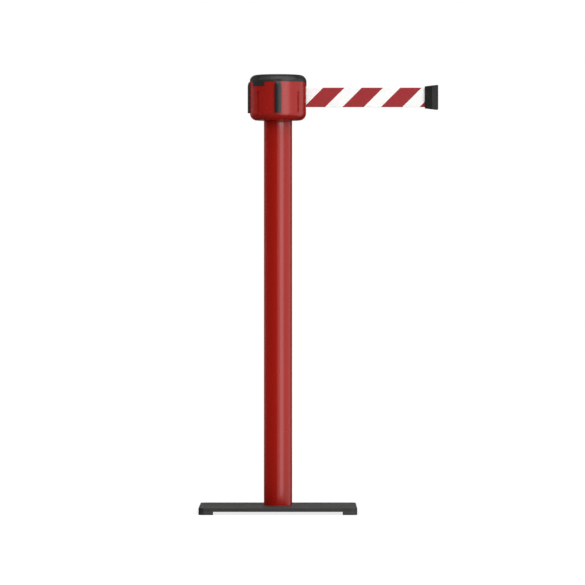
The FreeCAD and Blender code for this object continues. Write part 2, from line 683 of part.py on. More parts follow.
def cap_shell():
    """Cap with a slightly domed raised disc and a skirt that drops inside the housing."""
    disc_z = CAP_SHELF + CAP_DISC_STEP
    skirt_r = HEAD_IN_R - CAP_SKIRT_GAP
    skirt_in = skirt_r - CAP_SKIRT_T
    skirt_low = SEAM_Z - CAP_SKIRT_H
    inner = CAP_FILLET - CAP_WALL - CAP_LEDGE
    inner_z = CAP_KNEE_Z + CAP_LEDGE
    return turned([
        vec(0, 0, CAP_TOP),
        (vec(CAP_DISC_R / 2, 0, CAP_TOP - CAP_DOME / 4), vec(CAP_DISC_R - CAP_DISC_STEP, 0, disc_z)),
        vec(CAP_DISC_R, 0, CAP_SHELF),
        vec(CAP_KNEE_X, 0, CAP_SHELF),
        arc_about(CAP_KNEE_X, CAP_KNEE_Z, CAP_FILLET, 90, 0),
        vec(CAP_R, 0, SEAM_Z),
        vec(skirt_r, 0, SEAM_Z),
        vec(skirt_r, 0, skirt_low),
        vec(skirt_in, 0, skirt_low),
        vec(skirt_in, 0, SEAM_Z + CAP_LEDGE),
        vec(CAP_KNEE_X + inner, 0, inner_z),
        arc_about(CAP_KNEE_X, inner_z, inner, 0, 90),
        vec(0, 0, CAP_SHELF - CAP_WALL),
    ])


def cap_notch(degrees):
    """Square notch in the cap's shoulder, cut along the shoulder's own normal."""
    out, up = on_circle(1.0, CAP_NOTCH_TILT)
    depth = CAP_FILLET - CAP_NOTCH_DEPTH
    half_w = CAP_NOTCH_W / 2
    half_h = CAP_NOTCH_H / 2
    pocket = block(-half_h, half_h, -half_w, half_w, 0, CAP_NOTCH_DEPTH + PAST)
    pocket = lying(pocket, CAP_KNEE_X + depth * out, 0, CAP_KNEE_Z + depth * up, vec(out, 0, up))
    return about_z(pocket, degrees)


def cap():
    """Cap with its latch tabs, the tab over the belt mouth, notches and screw bosses."""
    body = cap_shell()
    side_gap = math.degrees(TAB_SIDE_GAP / HEAD_R)
    back = HEAD_R - TAB_SINK + TAB_BACK_GAP
    for tab_low, half_deg, middle in cap_tabs():
        top = SEAM_Z + TAB_OVERLAP
        tab = sector(CAP_R, back, tab_low + TAB_EDGE_GAP, top, middle, half_deg - side_gap)
        body = body.fuse(tab)
    for degrees in QUARTERS:
        body = body.cut(cap_notch(degrees))
    flat = CLIP_FAR_T / 2 + CHANNEL_GAP + PAST
    for name, degrees in RAIL_ANGLES:
        relief = block(HEAD_R, CAP_R + PAST, -flat, flat, SEAM_Z - PAST, CAP_TOP)
        body = body.cut(about_z(relief, degrees))
    for degrees in CAP_BOSS_ANGLES:
        x, y = on_circle(CAP_BOSS_PCR, degrees)
        boss = cylinder(CAP_BOSS_R, CASE_Z, CAP_SHELF - CAP_WALL / 2, x, y)
        pilot_top = CASE_Z + CASSETTE_SCREW_LENGTH + HOLE_SPARE
        body = body.fuse(boss).cut(cylinder(SCREW_R, CASE_Z - PAST, pilot_top, x, y))
    save("cap", body.removeSplitter())


def cap_screws():
    """Screws from the cassette's upper plate into the cap's bosses."""
    screws = []
    for degrees in CAP_BOSS_ANGLES:
        x, y = on_circle(CAP_BOSS_PCR, degrees)
        screw = pan_screw(PLATE_T + CASSETTE_SCREW_LENGTH)
        screw.translate(vec(x, y, UPPER_PLATE))
        screws.append(screw)
    save_group("cap_screws", screws)


# ---------------------------------------------------------------- cassette

def stand_off_points():
    return [on_circle(STAND_OFF_PCR, degrees) for degrees in STAND_OFF_ANGLES]


def roller_centres():
    return ((ROLLER_X, -ROLLER_Y), (ROLLER_X, ROLLER_Y))


def cassette_plate(low):
    """Round plate with holes for the bush, the roller pins and the distance posts' screws."""
    high = low + PLATE_T
    plate = ring(CASSETTE_R, BUSH_R, low, high)
    for x, y in roller_centres():
        plate = plate.cut(bore(PIN_R, low, high, x, y))
    for x, y in stand_off_points():
        plate = plate.cut(bore(SCREW_HOLE_R, low, high, x, y))
    return plate


def cassette_plates():
    """Lower and upper plates of the cassette; the upper one carries the cap's screws."""
    save("cassette_base", cassette_plate(LOWER_PLATE))
    upper = cassette_plate(UPPER_PLATE)
    for degrees in CAP_BOSS_ANGLES:
        x, y = on_circle(CAP_BOSS_PCR, degrees)
        upper = upper.cut(bore(SCREW_HOLE_R, UPPER_PLATE, CASE_Z, x, y))
    save("cassette_top", upper)


def stand_offs():
    """Distance posts between the plates and the screws in both their ends."""
    posts = []
    screws = []
    for x, y in stand_off_points():
        post = cylinder(STAND_OFF_R, LOWER_PLATE_TOP, UPPER_PLATE, x, y)
        post = post.cut(cylinder(SCREW_R, LOWER_PLATE_TOP - PAST, LOWER_PLATE_TOP + STAND_OFF_TAP, x, y))
        post = post.cut(cylinder(SCREW_R, UPPER_PLATE - STAND_OFF_TAP, UPPER_PLATE + PAST, x, y))
        posts.append(post)
        screw = pan_screw(PLATE_T + STAND_OFF_SCREW)
        screws.append(upside_down(screw, x, y, CASE_Z))
        screw.translate(vec(x, y, LOWER_PLATE))
        screws.append(screw)
    save_group("cassette_posts", posts)
    save_group("cassette_screws", screws)


def bushes():
    """Bushes that carry the axle in the two plates; the lower one has a closed floor."""
    lower = cylinder(BUSH_R, LOWER_PLATE, LOWER_PLATE_TOP)
    well = cylinder(AXLE_FOOT_R + RUNNING_GAP, LOWER_PLATE + BUSH_FLOOR, LOWER_PLATE_TOP + PAST)
    save("lower_bush", lower.cut(well))
    save("upper_bush", ring(BUSH_R, AXLE_R + RUNNING_GAP, UPPER_PLATE, CASE_Z))


def cross_pin(half_length):
    """Pin across the spool and the axle, half way up the webbing."""
    return lying(cylinder(CROSS_PIN_R, 0, 2 * half_length), 0, -half_length, BELT_Z, vec(0, 1))


def axle():
    """Axle with a reduced foot and a slotted top for the spring's inner end."""
    shoulder = LOWER_PLATE_TOP + BODY_GAP / 2
    foot = cylinder(AXLE_FOOT_R, LOWER_PLATE + BUSH_FLOOR + AXLE_FOOT_GAP, shoulder + AXLE_FOOT_GAP)
    shaft = cylinder(AXLE_R, shoulder, CASE_TOP - BODY_GAP)
    wide = AXLE_R + PAST
    half = ARBOR_SLOT_W / 2
    slot = block(-wide, wide, -half, half, CASE_Z + CASE_WALL, CASE_TOP)
    save("axle", foot.fuse(shaft).cut(slot).cut(cross_pin(AXLE_R + PAST)))


def spool():
    """Moulded spool with its lower flange, and the upper flange pressed on its hub."""
    low = FLANGE_LOW_TOP - SPOOL_FLANGE
    high = FLANGE_HIGH + SPOOL_FLANGE
    spigot_r = SPOOL_HUB_R - SPOOL_SPIGOT_IN
    body = cylinder(SPOOL_HUB_R, low, FLANGE_HIGH)
    body = body.fuse(cylinder(SPOOL_R, low, FLANGE_LOW_TOP))
    body = body.fuse(cylinder(spigot_r, FLANGE_HIGH - PAST, high))
    body = body.cut(bore(AXLE_R, low, high)).cut(cross_pin(SPOOL_HUB_R + PAST))
    save("spool", body)
    upper = ring(SPOOL_R, spigot_r, FLANGE_HIGH, high)
    for k in range(3):
        x, y = on_circle(SPOOL_WINDOW_PCR, 120 * k + 30)
        upper = upper.cut(bore(SPOOL_WINDOW_R, FLANGE_HIGH, high, x, y))
    save("spool_flange", upper)
    save("spool_pin", cross_pin(SPOOL_HUB_R - CROSS_PIN_SHORT))


def belt_coil():
    """The wound turns of webbing on the spool."""
    save("belt_coil", ring(COIL_OUT_R, SPOOL_HUB_R + COIL_GAP, BELT_LOW, BELT_HIGH))


def belt_path():
    """Heading of the leaving webbing, and its radii round the coil and round the roller."""
    roller_x, roller_y = roller_centres()[0]
    coil = COIL_OUT_R + WRAP_GAP + BELT_T / 2
    wrap = ROLLER_R + WRAP_GAP + BELT_T / 2
    lean = math.atan2(-roller_y, roller_x)
    heading = math.asin((coil + wrap) / math.hypot(roller_x, roller_y)) - lean
    return heading, coil, wrap


def offset_path(side):
    """Points of one face of the webbing, from the coil round the roller to the mouth."""
    heading, coil, wrap = belt_path()
    roller_x, roller_y = roller_centres()[0]
    outer = coil - side * BELT_T / 2
    inner = wrap + side * BELT_T / 2
    start = heading - math.pi / 2
    points = []
    for angle in (start - WRAP_TURN, start - WRAP_TURN / 2, start):
        points.append(vec(outer * math.cos(angle), outer * math.sin(angle), BELT_LOW))
    for turn in (heading, heading / 2, 0):
        x = roller_x - inner * math.sin(turn)
        y = roller_y + inner * math.cos(turn)
        points.append(vec(x, y, BELT_LOW))
    points.append(vec(BELT_START, side * BELT_T / 2, BELT_LOW))
    return points


def belt_lead():
    """Webbing inside the head: last turn, straight run and bend round the guide roller."""
    edges = []
    sides = (offset_path(1), offset_path(-1))
    for p in sides:
        edges.append(Part.Arc(p[0], p[1], p[2]).toShape())
        edges.append(Part.LineSegment(p[2], p[3]).toShape())
        edges.append(Part.Arc(p[3], p[4], p[5]).toShape())
        edges.append(Part.LineSegment(p[5], p[6]).toShape())
    left, right = sides
    edges.append(Part.LineSegment(left[0], right[0]).toShape())
    edges.append(Part.LineSegment(left[6], right[6]).toShape())
    face = Part.Face(Part.Wire(Part.sortEdges(edges)[0]))
    save("belt_lead", face.extrude(vec(0, 0, BELT_W)))


def belt_guide():
    """Guide that carries the two rollers and leads the webbing out of the housing."""
    low = LOWER_PLATE_TOP
    high = UPPER_PLATE
    snout_from = GUIDE_SHOULDER - PAST
    snout_high = SEAM_Z - CAP_TAB_DROP
    body = block(GUIDE_BACK, GUIDE_SHOULDER, -GUIDE_HALF, GUIDE_HALF, low, high)
    snout = block(snout_from, HEAD_R, -GUIDE_SNOUT_HALF, GUIDE_SNOUT_HALF, low, snout_high)
    body = body.fuse(snout).common(bore(HEAD_R - GUIDE_INSET, low, high))
    inside_low = BELT_LOW - GUIDE_EDGE_GAP
    inside_high = BELT_HIGH + GUIDE_EDGE_GAP
    side = GUIDE_HALF - GUIDE_SIDE_WALL
    room_end = GUIDE_SHOULDER - GUIDE_WALL
    body = body.cut(block(GUIDE_BACK - PAST, room_end, -side, side, inside_low, inside_high))
    slot_half = BELT_T / 2 + GUIDE_SLOT_GAP
    slot = block(GUIDE_BACK, HEAD_R, -slot_half, slot_half, inside_low, inside_high)
    body = body.cut(slot)
    for x, y in roller_centres():
        body = body.cut(bore(PIN_R, low, high, x, y))
    save("belt_guide", body)


def rollers():
    """Two upright guide rollers on fixed pins."""
    names = ("guide_roller_near", "guide_roller_far")
    low = BELT_LOW - GUIDE_EDGE_GAP + BODY_GAP
    high = BELT_HIGH + GUIDE_EDGE_GAP - BODY_GAP
    pins = []
    for name, (x, y) in zip(names, roller_centres()):
        save(name, ring(ROLLER_R, PIN_R + RUNNING_GAP, low, high, x, y))
        pins.append(cylinder(PIN_R, LOWER_PLATE, CASE_Z, x, y))
    save_group("roller_pins", pins)


# ---------------------------------------------------------------- power spring

def spring_case():
    """Cup for the power spring, its lid and the screws through its ears."""
    top = CASE_TOP
    lid_top = top + CASE_WALL
    room_r = SPRING_CASE_R - CASE_WALL
    cup = cylinder(SPRING_CASE_R, CASE_Z, top)
    lid = cylinder(SPRING_CASE_R, top, lid_top)
    screws = []
    for k in range(3):
        x, y = on_circle(SPRING_CASE_R + CASE_EAR_OUT, 120 * k + CASE_EAR_START)
        cup = cup.fuse(cylinder(CASE_EAR_R, CASE_Z, top, x, y))
        cup = cup.cut(cylinder(SCREW_R, top - CASE_EAR_TAP, top + PAST, x, y))
        lid = lid.fuse(cylinder(CASE_EAR_R, top, lid_top, x, y))
        lid = lid.cut(bore(SCREW_HOLE_R, top, lid_top, x, y))
        screws.append(upside_down(pan_screw(CASE_WALL + CASE_EAR_SCREW), x, y, lid_top))
    cup = cup.cut(cylinder(room_r, CASE_Z + CASE_WALL, top + PAST))
    cup = cup.cut(bore(AXLE_R + BODY_GAP, CASE_Z, CASE_Z + CASE_WALL))
    save("spring_case", cup)
    save("spring_lid", lid)
    save_group("spring_screws", screws)


def power_spring():
    """Flat spiral spring of half-circle arcs, from the axle's slot to the wall of its case."""
    low = CASE_Z + CASE_WALL + SPRING_LIFT
    half = SPRING_T / 2
    start = AXLE_R + SPRING_HUB_GAP
    limit = SPRING_CASE_R - CASE_WALL - half - SPRING_RIM_GAP
    step = (limit - start) / (2 * SPRING_TURNS)
    edges = []
    for offset in (-half, half):
        for k in range(2 * SPRING_TURNS):
            radius = start + k * step + offset
            centre = step * (k % 2)
            way = 1 - 2 * (k % 2)
            first = vec(centre + way * radius, 0, low)
            middle = vec(centre, way * radius, low)
            last = vec(centre - way * radius, 0, low)
            edges.append(Part.Arc(first, middle, last).toShape())
    for end in (start, limit):
        edges.append(Part.LineSegment(vec(end - half, 0, low), vec(end + half, 0, low)).toShape())
    strip = Part.Face(Part.Wire(Part.sortEdges(edges)[0])).extrude(vec(0, 0, SPRING_STRIP))
    tongue = block(-SPRING_TONGUE, start, -half, half, low, low + SPRING_STRIP)
    save("power_spring", strip.fuse(tongue))


# ---------------------------------------------------------------- belt end

def clip_side_view():
    """The belt end seen from the front: taller at its outer edge."""
    near = CLIP_NEAR_H / 2
    far = CLIP_FAR_H / 2
    return outline([
        vec(CLIP_NEAR_X, 0, BELT_Z - near),
        vec(CLIP_END_X, 0, BELT_Z - far),
        vec(CLIP_END_X, 0, BELT_Z + far),
        vec(CLIP_NEAR_X, 0, BELT_Z + near),
    ])


def clip_half(side):
    """One half of the belt end, split in the plane of the webbing."""
    near = side * CLIP_NEAR_T / 2
    wide = side * CLIP_FAR_T / 2
    solid = clip_side_view().extrude(vec(0, wide, 0))
    corners = []
    for edge in solid.Edges:
        box = edge.BoundBox
        if box.XMin > CLIP_END_X - TINY and box.ZLength < TINY:
            corners.append(edge)
    solid = solid.makeFillet(CLIP_CORNER, corners)
    swell = CLIP_NEAR_X + CLIP_SWELL
    half_way = vec(CLIP_NEAR_X + CLIP_SWELL / 2, near + side * CLIP_BULGE)
    plan = outline([
        vec(CLIP_NEAR_X, 0),
        vec(CLIP_NEAR_X, near),
        (half_way, vec(swell, wide)),
        vec(CLIP_END_X - CLIP_EDGE, wide),
        vec(CLIP_END_X, wide - side * CLIP_EDGE),
        vec(CLIP_END_X, 0),
    ])
    return solid.common(plan.extrude(vec(0, 0, CAP_TOP + CLIP_FAR_H)))


def channel_cut():
    """T-shaped channel that drops over a rail, open below and closed above."""
    lip = RAIL_NECK_H - CHANNEL_GAP
    neck = RAIL_NECK_W / 2 + CHANNEL_GAP
    half = RAIL_W / 2 + CHANNEL_GAP
    depth = RAIL_PROUD + CHANNEL_GAP + CHANNEL_END
    low = BELT_Z - CLIP_FAR_H
    high = BELT_Z + CLIP_FAR_H / 2 - CHANNEL_ROOF
    mouth = block(CLIP_END_X - lip - PAST, CLIP_END_X + PAST, -neck, neck, low, high)
    room = block(CLIP_END_X - depth, CLIP_END_X - lip, -half, half, low, high)
    return mouth.fuse(room)


def webbing_room(bar_x, low, high):
    """Slot, loop room and bar pockets inside the belt end."""
    loop_r = CLIP_BAR_R + BELT_T + LOOP_ROOM
    slot = block(CLIP_NEAR_X - PAST, bar_x, -CLIP_SLOT_HALF, CLIP_SLOT_HALF, low, high)
    room = cylinder(loop_r, low, high, bar_x, 0)
    pockets = cylinder(CLIP_BAR_R, low - CLIP_BAR_END, high + CLIP_BAR_END, bar_x, 0)
    return slot.fuse(room).fuse(pockets)


def belt_end():
    """Two clip halves clamped on the webbing's looped end, with bar and screws."""
    bar_x = CLIP_NEAR_X + CLIP_BAR_X
    low = BELT_LOW - CLIP_SLOT_END
    high = BELT_HIGH + CLIP_SLOT_END
    inside = webbing_room(bar_x, low, high)
    channel = channel_cut()
    front = clip_half(-1).cut(channel).cut(inside)
    back = clip_half(1).cut(channel).cut(inside)
    screw_x = CLIP_NEAR_X + CLIP_SCREW_X
    towards_front = vec(0, -1)
    screws = []
    for z in (BELT_LOW + CLIP_SCREW_INSET, BELT_HIGH - CLIP_SCREW_INSET):
        hole = cylinder(SCREW_R, 0, 2 * CLIP_BORE_TIP)
        hole = lying(hole, screw_x, CLIP_BORE_TIP, z, towards_front)
        sink = cylinder(SCREW_HEAD_R + SCREW_HEAD_GAP, 0, CLIP_SINK_OUT - CLIP_SCREW_SEAT)
        sink = lying(sink, screw_x, CLIP_SINK_OUT, z, towards_front)
        front = front.cut(hole)
        back = back.cut(hole).cut(sink)
        screws.append(lying(pan_screw(CLIP_SCREW_LENGTH), screw_x, CLIP_SCREW_SEAT, z, towards_front))
    save("clip_front", front)
    save("clip_back", back)
    save_group("clip_screws", screws)
    bar_over = CLIP_BAR_END - CLIP_BAR_PLAY
    save("clip_bar", cylinder(CLIP_BAR_R, low - bar_over, high + bar_over, bar_x, 0))


def belt_strap():
    """Straight webbing from the mouth to the loop round the belt end's bar."""
    half = BELT_T / 2
    bar_x = CLIP_NEAR_X + CLIP_BAR_X
    inner = CLIP_BAR_R + LOOP_GAP
    outer = inner + BELT_T
    flat_end = bar_x - (inner + outer) / 2
    flat = block(BELT_START, flat_end, -half, half, BELT_LOW, BELT_HIGH)
    save("belt_strap", flat.fuse(ring(outer, inner, BELT_LOW, BELT_HIGH, bar_x, 0)))


os.makedirs("parts", exist_ok=True)
base_plate()
corner_feet()
foot_screws()
post_bolt()
bottom_plug()
post_tube()
top_plug()
head_bolt()
head_housing()
receivers()
cap()
cap_screws()
cassette_plates()
stand_offs()
bushes()
axle()
spool()
belt_coil()
belt_lead()
belt_guide()
rollers()
spring_case()
power_spring()
belt_end()
belt_strap()
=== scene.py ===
import math

import bpy
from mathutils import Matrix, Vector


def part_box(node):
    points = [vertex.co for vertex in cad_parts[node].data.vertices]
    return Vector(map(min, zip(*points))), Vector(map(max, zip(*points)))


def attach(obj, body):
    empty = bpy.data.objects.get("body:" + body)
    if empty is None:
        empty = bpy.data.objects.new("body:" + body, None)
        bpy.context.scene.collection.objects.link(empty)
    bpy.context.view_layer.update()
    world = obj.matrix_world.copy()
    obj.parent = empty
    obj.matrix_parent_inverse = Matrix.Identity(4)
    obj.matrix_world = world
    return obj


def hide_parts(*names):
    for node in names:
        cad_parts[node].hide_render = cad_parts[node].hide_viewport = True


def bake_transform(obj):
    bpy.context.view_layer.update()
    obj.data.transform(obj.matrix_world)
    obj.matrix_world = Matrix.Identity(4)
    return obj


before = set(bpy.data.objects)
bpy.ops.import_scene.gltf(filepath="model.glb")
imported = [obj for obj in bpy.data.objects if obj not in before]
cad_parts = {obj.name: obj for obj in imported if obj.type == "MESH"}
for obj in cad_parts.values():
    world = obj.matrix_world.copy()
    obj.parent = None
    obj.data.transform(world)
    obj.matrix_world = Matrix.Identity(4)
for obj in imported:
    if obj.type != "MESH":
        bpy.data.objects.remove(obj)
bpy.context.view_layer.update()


# ---------------------------------------------------------------- camera
# The post is looked at level from the front, from 13 m away, with its axis a little left of the
# middle of the view. So far off, the belt and the base show almost no perspective.

STAND_BACK = 13.2            # from the post's axis to the camera, metres
EYE_HEIGHT = 0.490
EYE_ASIDE = 0.0323           # the camera stands this far along +X of the post's axis
SEEN_WIDTH = 1.305           # width of what the camera sees at the post
SENSOR_WIDTH = 36.0
SEEN_DEPTH = 100.0

camera = bpy.data.objects.new("studio_camera", bpy.data.cameras.new("studio_camera"))
bpy.context.scene.collection.objects.link(camera)
camera.location = (EYE_ASIDE, -STAND_BACK, EYE_HEIGHT)
camera.rotation_euler = (math.pi / 2, 0, 0)
camera.data.sensor_width = SENSOR_WIDTH
camera.data.lens = SENSOR_WIDTH * STAND_BACK / SEEN_WIDTH
camera.data.clip_end = SEEN_DEPTH
bpy.context.scene.camera = camera
bpy.context.scene.view_settings.view_transform = "Standard"


# ---------------------------------------------------------------- floor and studio
# A white floor that runs back to the horizon, in a white room. The camera sees both as plain
# white paper, and the floor still takes the object's shadow. Cards round the post shape its gloss.

FLOOR_SIDE = 60.0
PAPER = (0.96, 0.96, 0.96, 1.0)
PAPER_SHADE = (0.90, 0.90, 0.90, 1.0)
PAPER_BOUNCE = (0.42, 0.42, 0.42, 1.0)   # the floor's colour for the light that it throws back
SHADOW_SHARE = 0.20          # how much of the floor's look comes from the light that falls on it
ROOM_GLOW = 0.20             # the room's even light
FULL_WHITE = (1.0, 1.0, 1.0, 1.0)
GLOSS_TINT = (1.0, 0.93, 0.99)           # of the soft box that is mirrored in the post

# Bearings are in degrees from the camera's side of the post towards +X.
DARK_FROM = 123.0            # the ring of upright cards goes from here to DARK_TO
PALE_FROM = 160.0
GREY_FROM = 192.0
BLACK_AGAIN = 246.0
DARK_TO = 355.0
HIGH_FROM = 90.0             # the high card covers the half behind the post
HIGH_TO = 270.0
CARD_STEP = 7.5              # degrees between the points of a level card's rim
CARD_STRIPS = 24             # strips of one upright card
CARD_DISTANCE = 5.0
CARD_TOP = 3.0
CARD_FOOT = -1.2             # below the floor, because the gloss looks through the floor
OPEN_REACH = 3.8             # reach of the low card on the side without upright cards
CARD_BLACK = 0.02
CARD_GREY = 0.17
CARD_PALE = 0.40
CARD_RUB = 1.4               # how much lighter a card is where it is rubbed


class Value:
    """A socket of a shader node that can stand in a Python expression."""

    def __init__(self, finish, socket):
        self.finish = finish
        self.socket = socket

    def maths(self, operation, *others):
        """A Math node with this value in front."""
        values = dict(enumerate((self,) + others))
        return self.finish.node("ShaderNodeMath", {"operation": operation}, values)

    def flipped(self, operation, other):
        """A Math node with this value behind the other one."""
        return self.finish.node("ShaderNodeMath", {"operation": operation}, {0: other, 1: self})

    def __add__(self, other):
        return self.maths("ADD", other)

    def __sub__(self, other):
        return self.maths("SUBTRACT", other)

    def __mul__(self, other):
        return self.maths("MULTIPLY", other)

    def __truediv__(self, other):
        return self.maths("DIVIDE", other)

    def __rsub__(self, other):
        return self.flipped("SUBTRACT", other)

    def __rtruediv__(self, other):
        return self.flipped("DIVIDE", other)

    __radd__ = __add__
    __rmul__ = __mul__

    def clipped(self):
        return self.finish.node("ShaderNodeClamp", {}, {"Value": self})

    def eased(self, low, high):
        """0 below low, 1 above high and smooth between them."""
        return self.finish.node(
            "ShaderNodeMapRange", {"interpolation_type": "SMOOTHSTEP"},
            {"Value": self, "From Min": low, "From Max": high},
        )


class Finish:
    """A material or a world while it is made. node() adds any node and returns an output of it."""

    def __init__(self, owner):
        self.owner = owner
        owner.use_nodes = True
        self.tree = owner.node_tree
        self.tree.nodes.clear()

    def node(self, kind, settings=None, sockets=None, out=0):
        """Settings are set first. A socket takes a number, a colour or a link from a Value."""
        made = self.tree.nodes.new(kind)
        for key, value in (settings or {}).items():
            setattr(made, key, value)
        for key, value in (sockets or {}).items():
            if isinstance(value, Value):
                self.tree.links.new(value.socket, made.inputs[key])
            else:
                made.inputs[key].default_value = value
        return Value(self, made.outputs[out]) if len(made.outputs) else None

    def place(self):
        """Where a point of the piece is, in the piece's own space."""
        return self.node("ShaderNodeTexCoord", out="Object")

    def axis(self, vector, letter):
        return self.node("ShaderNodeSeparateXYZ", {}, {0: vector}, letter)

    def stretched(self, vector, along):
        return self.node("ShaderNodeVectorMath", {"operation": "MULTIPLY"}, {0: vector, 1: along})

    def noise(self, vector, scale, detail=3.0, roughness=0.5):
        sockets = {"Vector": vector, "Scale": scale, "Detail": detail, "Roughness": roughness}
        return self.node("ShaderNodeTexNoise", {}, sockets)

    def blended(self, share, first, second):
        """A colour between first, where share is 0, and second, where it is 1."""
        sockets = {0: share, 6: first, 7: second}     # 6 and 7 take colours, and 2 gives one
        return self.node("ShaderNodeMix", {"data_type": "RGBA"}, sockets, 2)

    def bump(self, height, depth, strength):
        sockets = {"Height": height, "Distance": depth, "Strength": strength}
        return self.node("ShaderNodeBump", {}, sockets)

    def surface(self, **sockets):
        """The finished skin: names use _ for the spaces in the shader's own sockets."""
        named = {key.replace("_", " "): value for key, value in sockets.items()}
        skin = self.node("ShaderNodeBsdfPrincipled", {}, named)
        return self.covers(skin)

    def covers(self, skin):
        """The material, finished with a shader over its whole surface."""
        self.node("ShaderNodeOutputMaterial", {}, {"Surface": skin})
        return self.owner


def new_piece(name, data):
    piece = bpy.data.objects.new(name, data)
    bpy.context.scene.collection.objects.link(piece)
    return piece


def round_post(bearing, distance, height):
    """The point at a bearing and a distance from the post's axis."""
    turn = math.radians(bearing)
    return (distance * math.sin(turn), -distance * math.cos(turn), height)


def seen_directly(finish):
    """1 for what the camera sees, in a straight line or in a gloss or clear surface, else 0."""
    camera_ray = finish.node("ShaderNodeLightPath", out="Is Camera Ray")
    glossy_ray = finish.node("ShaderNodeLightPath", out="Is Glossy Ray")
    clear_ray = finish.node("ShaderNodeLightPath", out="Is Transmission Ray")
    return (camera_ray + glossy_ray + clear_ray).clipped()


def white_paper():
    """The floor's paper: mostly plain white where it is seen, and darker in the shadow."""
    finish = Finish(bpy.data.materials.new("white_paper"))
    fibre = finish.noise(finish.place(), scale=60.0, detail=4.0)
    seen = seen_directly(finish)
    paper = finish.blended(seen, PAPER_BOUNCE, finish.blended(fibre * 0.2, PAPER, PAPER_SHADE))
    lit = finish.node("ShaderNodeBsdfDiffuse", {}, {"Color": paper})
    plain = finish.node("ShaderNodeEmission", {}, {"Color": FULL_WHITE, "Strength": 1.0})
    share = seen * (1.0 - SHADOW_SHARE)
    return finish.covers(finish.node("ShaderNodeMixShader", {}, {0: share, 1: lit, 2: plain}))


def card_paper(tone):
    """Matt paper of a grey tone, rubbed a little lighter in places."""
    finish = Finish(bpy.data.materials.new("card_paper"))
    nap = finish.noise(finish.place(), scale=40.0)
    rubbed = CARD_RUB * tone
    colour = finish.blended(nap, (tone, tone, tone, 1.0), (rubbed, rubbed, rubbed, 1.0))
    return finish.covers(finish.node("ShaderNodeBsdfDiffuse", {}, {"Color": colour}))


def white_room():
    """World: plain white where it is seen, a dim even light on everything else."""
    world = bpy.data.worlds.new("white_room")
    bpy.context.scene.world = world
    finish = Finish(world)
    strength = seen_directly(finish) * (1.0 - ROOM_GLOW) + ROOM_GLOW
    glow = finish.node("ShaderNodeBackground", {}, {"Color": FULL_WHITE, "Strength": strength})
    finish.node("ShaderNodeOutputWorld", {}, {"Surface": glow})


def soft_box(name, bearing, distance, height, width, tall, glow):
    """An upright soft box that faces the post."""
    lamp = bpy.data.lights.new(name, "AREA")
    lamp.shape = "RECTANGLE"
    lamp.size = width
    lamp.size_y = tall
    lamp.energy = glow * math.pi * width * tall
    holder = new_piece(name, lamp)
    holder.location = round_post(bearing, distance, height)
    holder.rotation_euler = (math.pi / 2, 0, math.radians(bearing))
    holder.visible_camera = False
    return holder


def far_light(name, bearing, elevation, strength, spread):
    """A wide, far light, so that the post is lit the same from head to foot."""
    lamp = bpy.data.lights.new(name, "SUN")
    lamp.energy = strength
    lamp.angle = math.radians(spread)
    holder = new_piece(name, lamp)
    holder.rotation_euler = (math.radians(90 - elevation), 0, math.radians(bearing))
    return holder


def card(name, points, faces, tone):
    """Only the gloss of the object sees a card: it takes no light away and throws no shadow."""
    sheet = bpy.data.meshes.new(name)
    sheet.from_pydata(points, [], faces)
    sheet.materials.append(card_paper(tone))
    piece = new_piece(name, sheet)
    piece.visible_camera = False
    piece.visible_diffuse = False
    piece.visible_shadow = False


def upright_card(name, first, last, tone):
    """A card bent round the post, between two bearings."""
    points = []
    for k in range(CARD_STRIPS + 1):
        bearing = first + (last - first) * k / CARD_STRIPS
        points += [round_post(bearing, CARD_DISTANCE, z) for z in (CARD_FOOT, CARD_TOP)]
    faces = [(2 * k, 2 * k + 2, 2 * k + 3, 2 * k + 1) for k in range(CARD_STRIPS)]
    card(name, points, faces, tone)


def level_card(name, rim, height, tone):
    """A card that lies level, as a fan from the post's axis to a rim of (bearing, reach)."""
    points = [(0, 0, height)] + [round_post(bearing, reach, height) for bearing, reach in rim]
    card(name, points, [(0, k, k + 1) for k in range(1, len(rim))], tone)


edge = FLOOR_SIDE / 2
corners = [(-edge, -edge, 0), (edge, -edge, 0), (edge, edge, 0), (-edge, edge, 0)]
floor_mesh = bpy.data.meshes.new("floor")
floor_mesh.from_pydata(corners, [], [(0, 1, 2, 3)])
floor_mesh.materials.append(white_paper())
floor = new_piece("floor", floor_mesh)
floor.visible_glossy = False
white_room()

# One soft box lights the post, and a nearer one is only mirrored in it, as a long highlight.
# Three far lights fill in from the front, the back and the side.
front_panel = soft_box(
    "front_panel", bearing=30.0, distance=4.0, height=1.2, width=2.2, tall=3.2, glow=1.65,
)
front_panel.visible_glossy = False
gloss_panel = soft_box(
    "gloss_panel", bearing=30.0, distance=1.8, height=0.74, width=0.99, tall=2.28, glow=1.65,
)
gloss_panel.data.color = GLOSS_TINT
gloss_panel.visible_diffuse = False
far_light("front_light", bearing=26.0, elevation=52.0, strength=3.1, spread=80.0)
far_light("back_light", bearing=240.0, elevation=42.0, strength=0.40, spread=80.0)
side_light = far_light("side_light", bearing=236.0, elevation=12.0, strength=1.4, spread=40.0)
side_light.visible_glossy = False

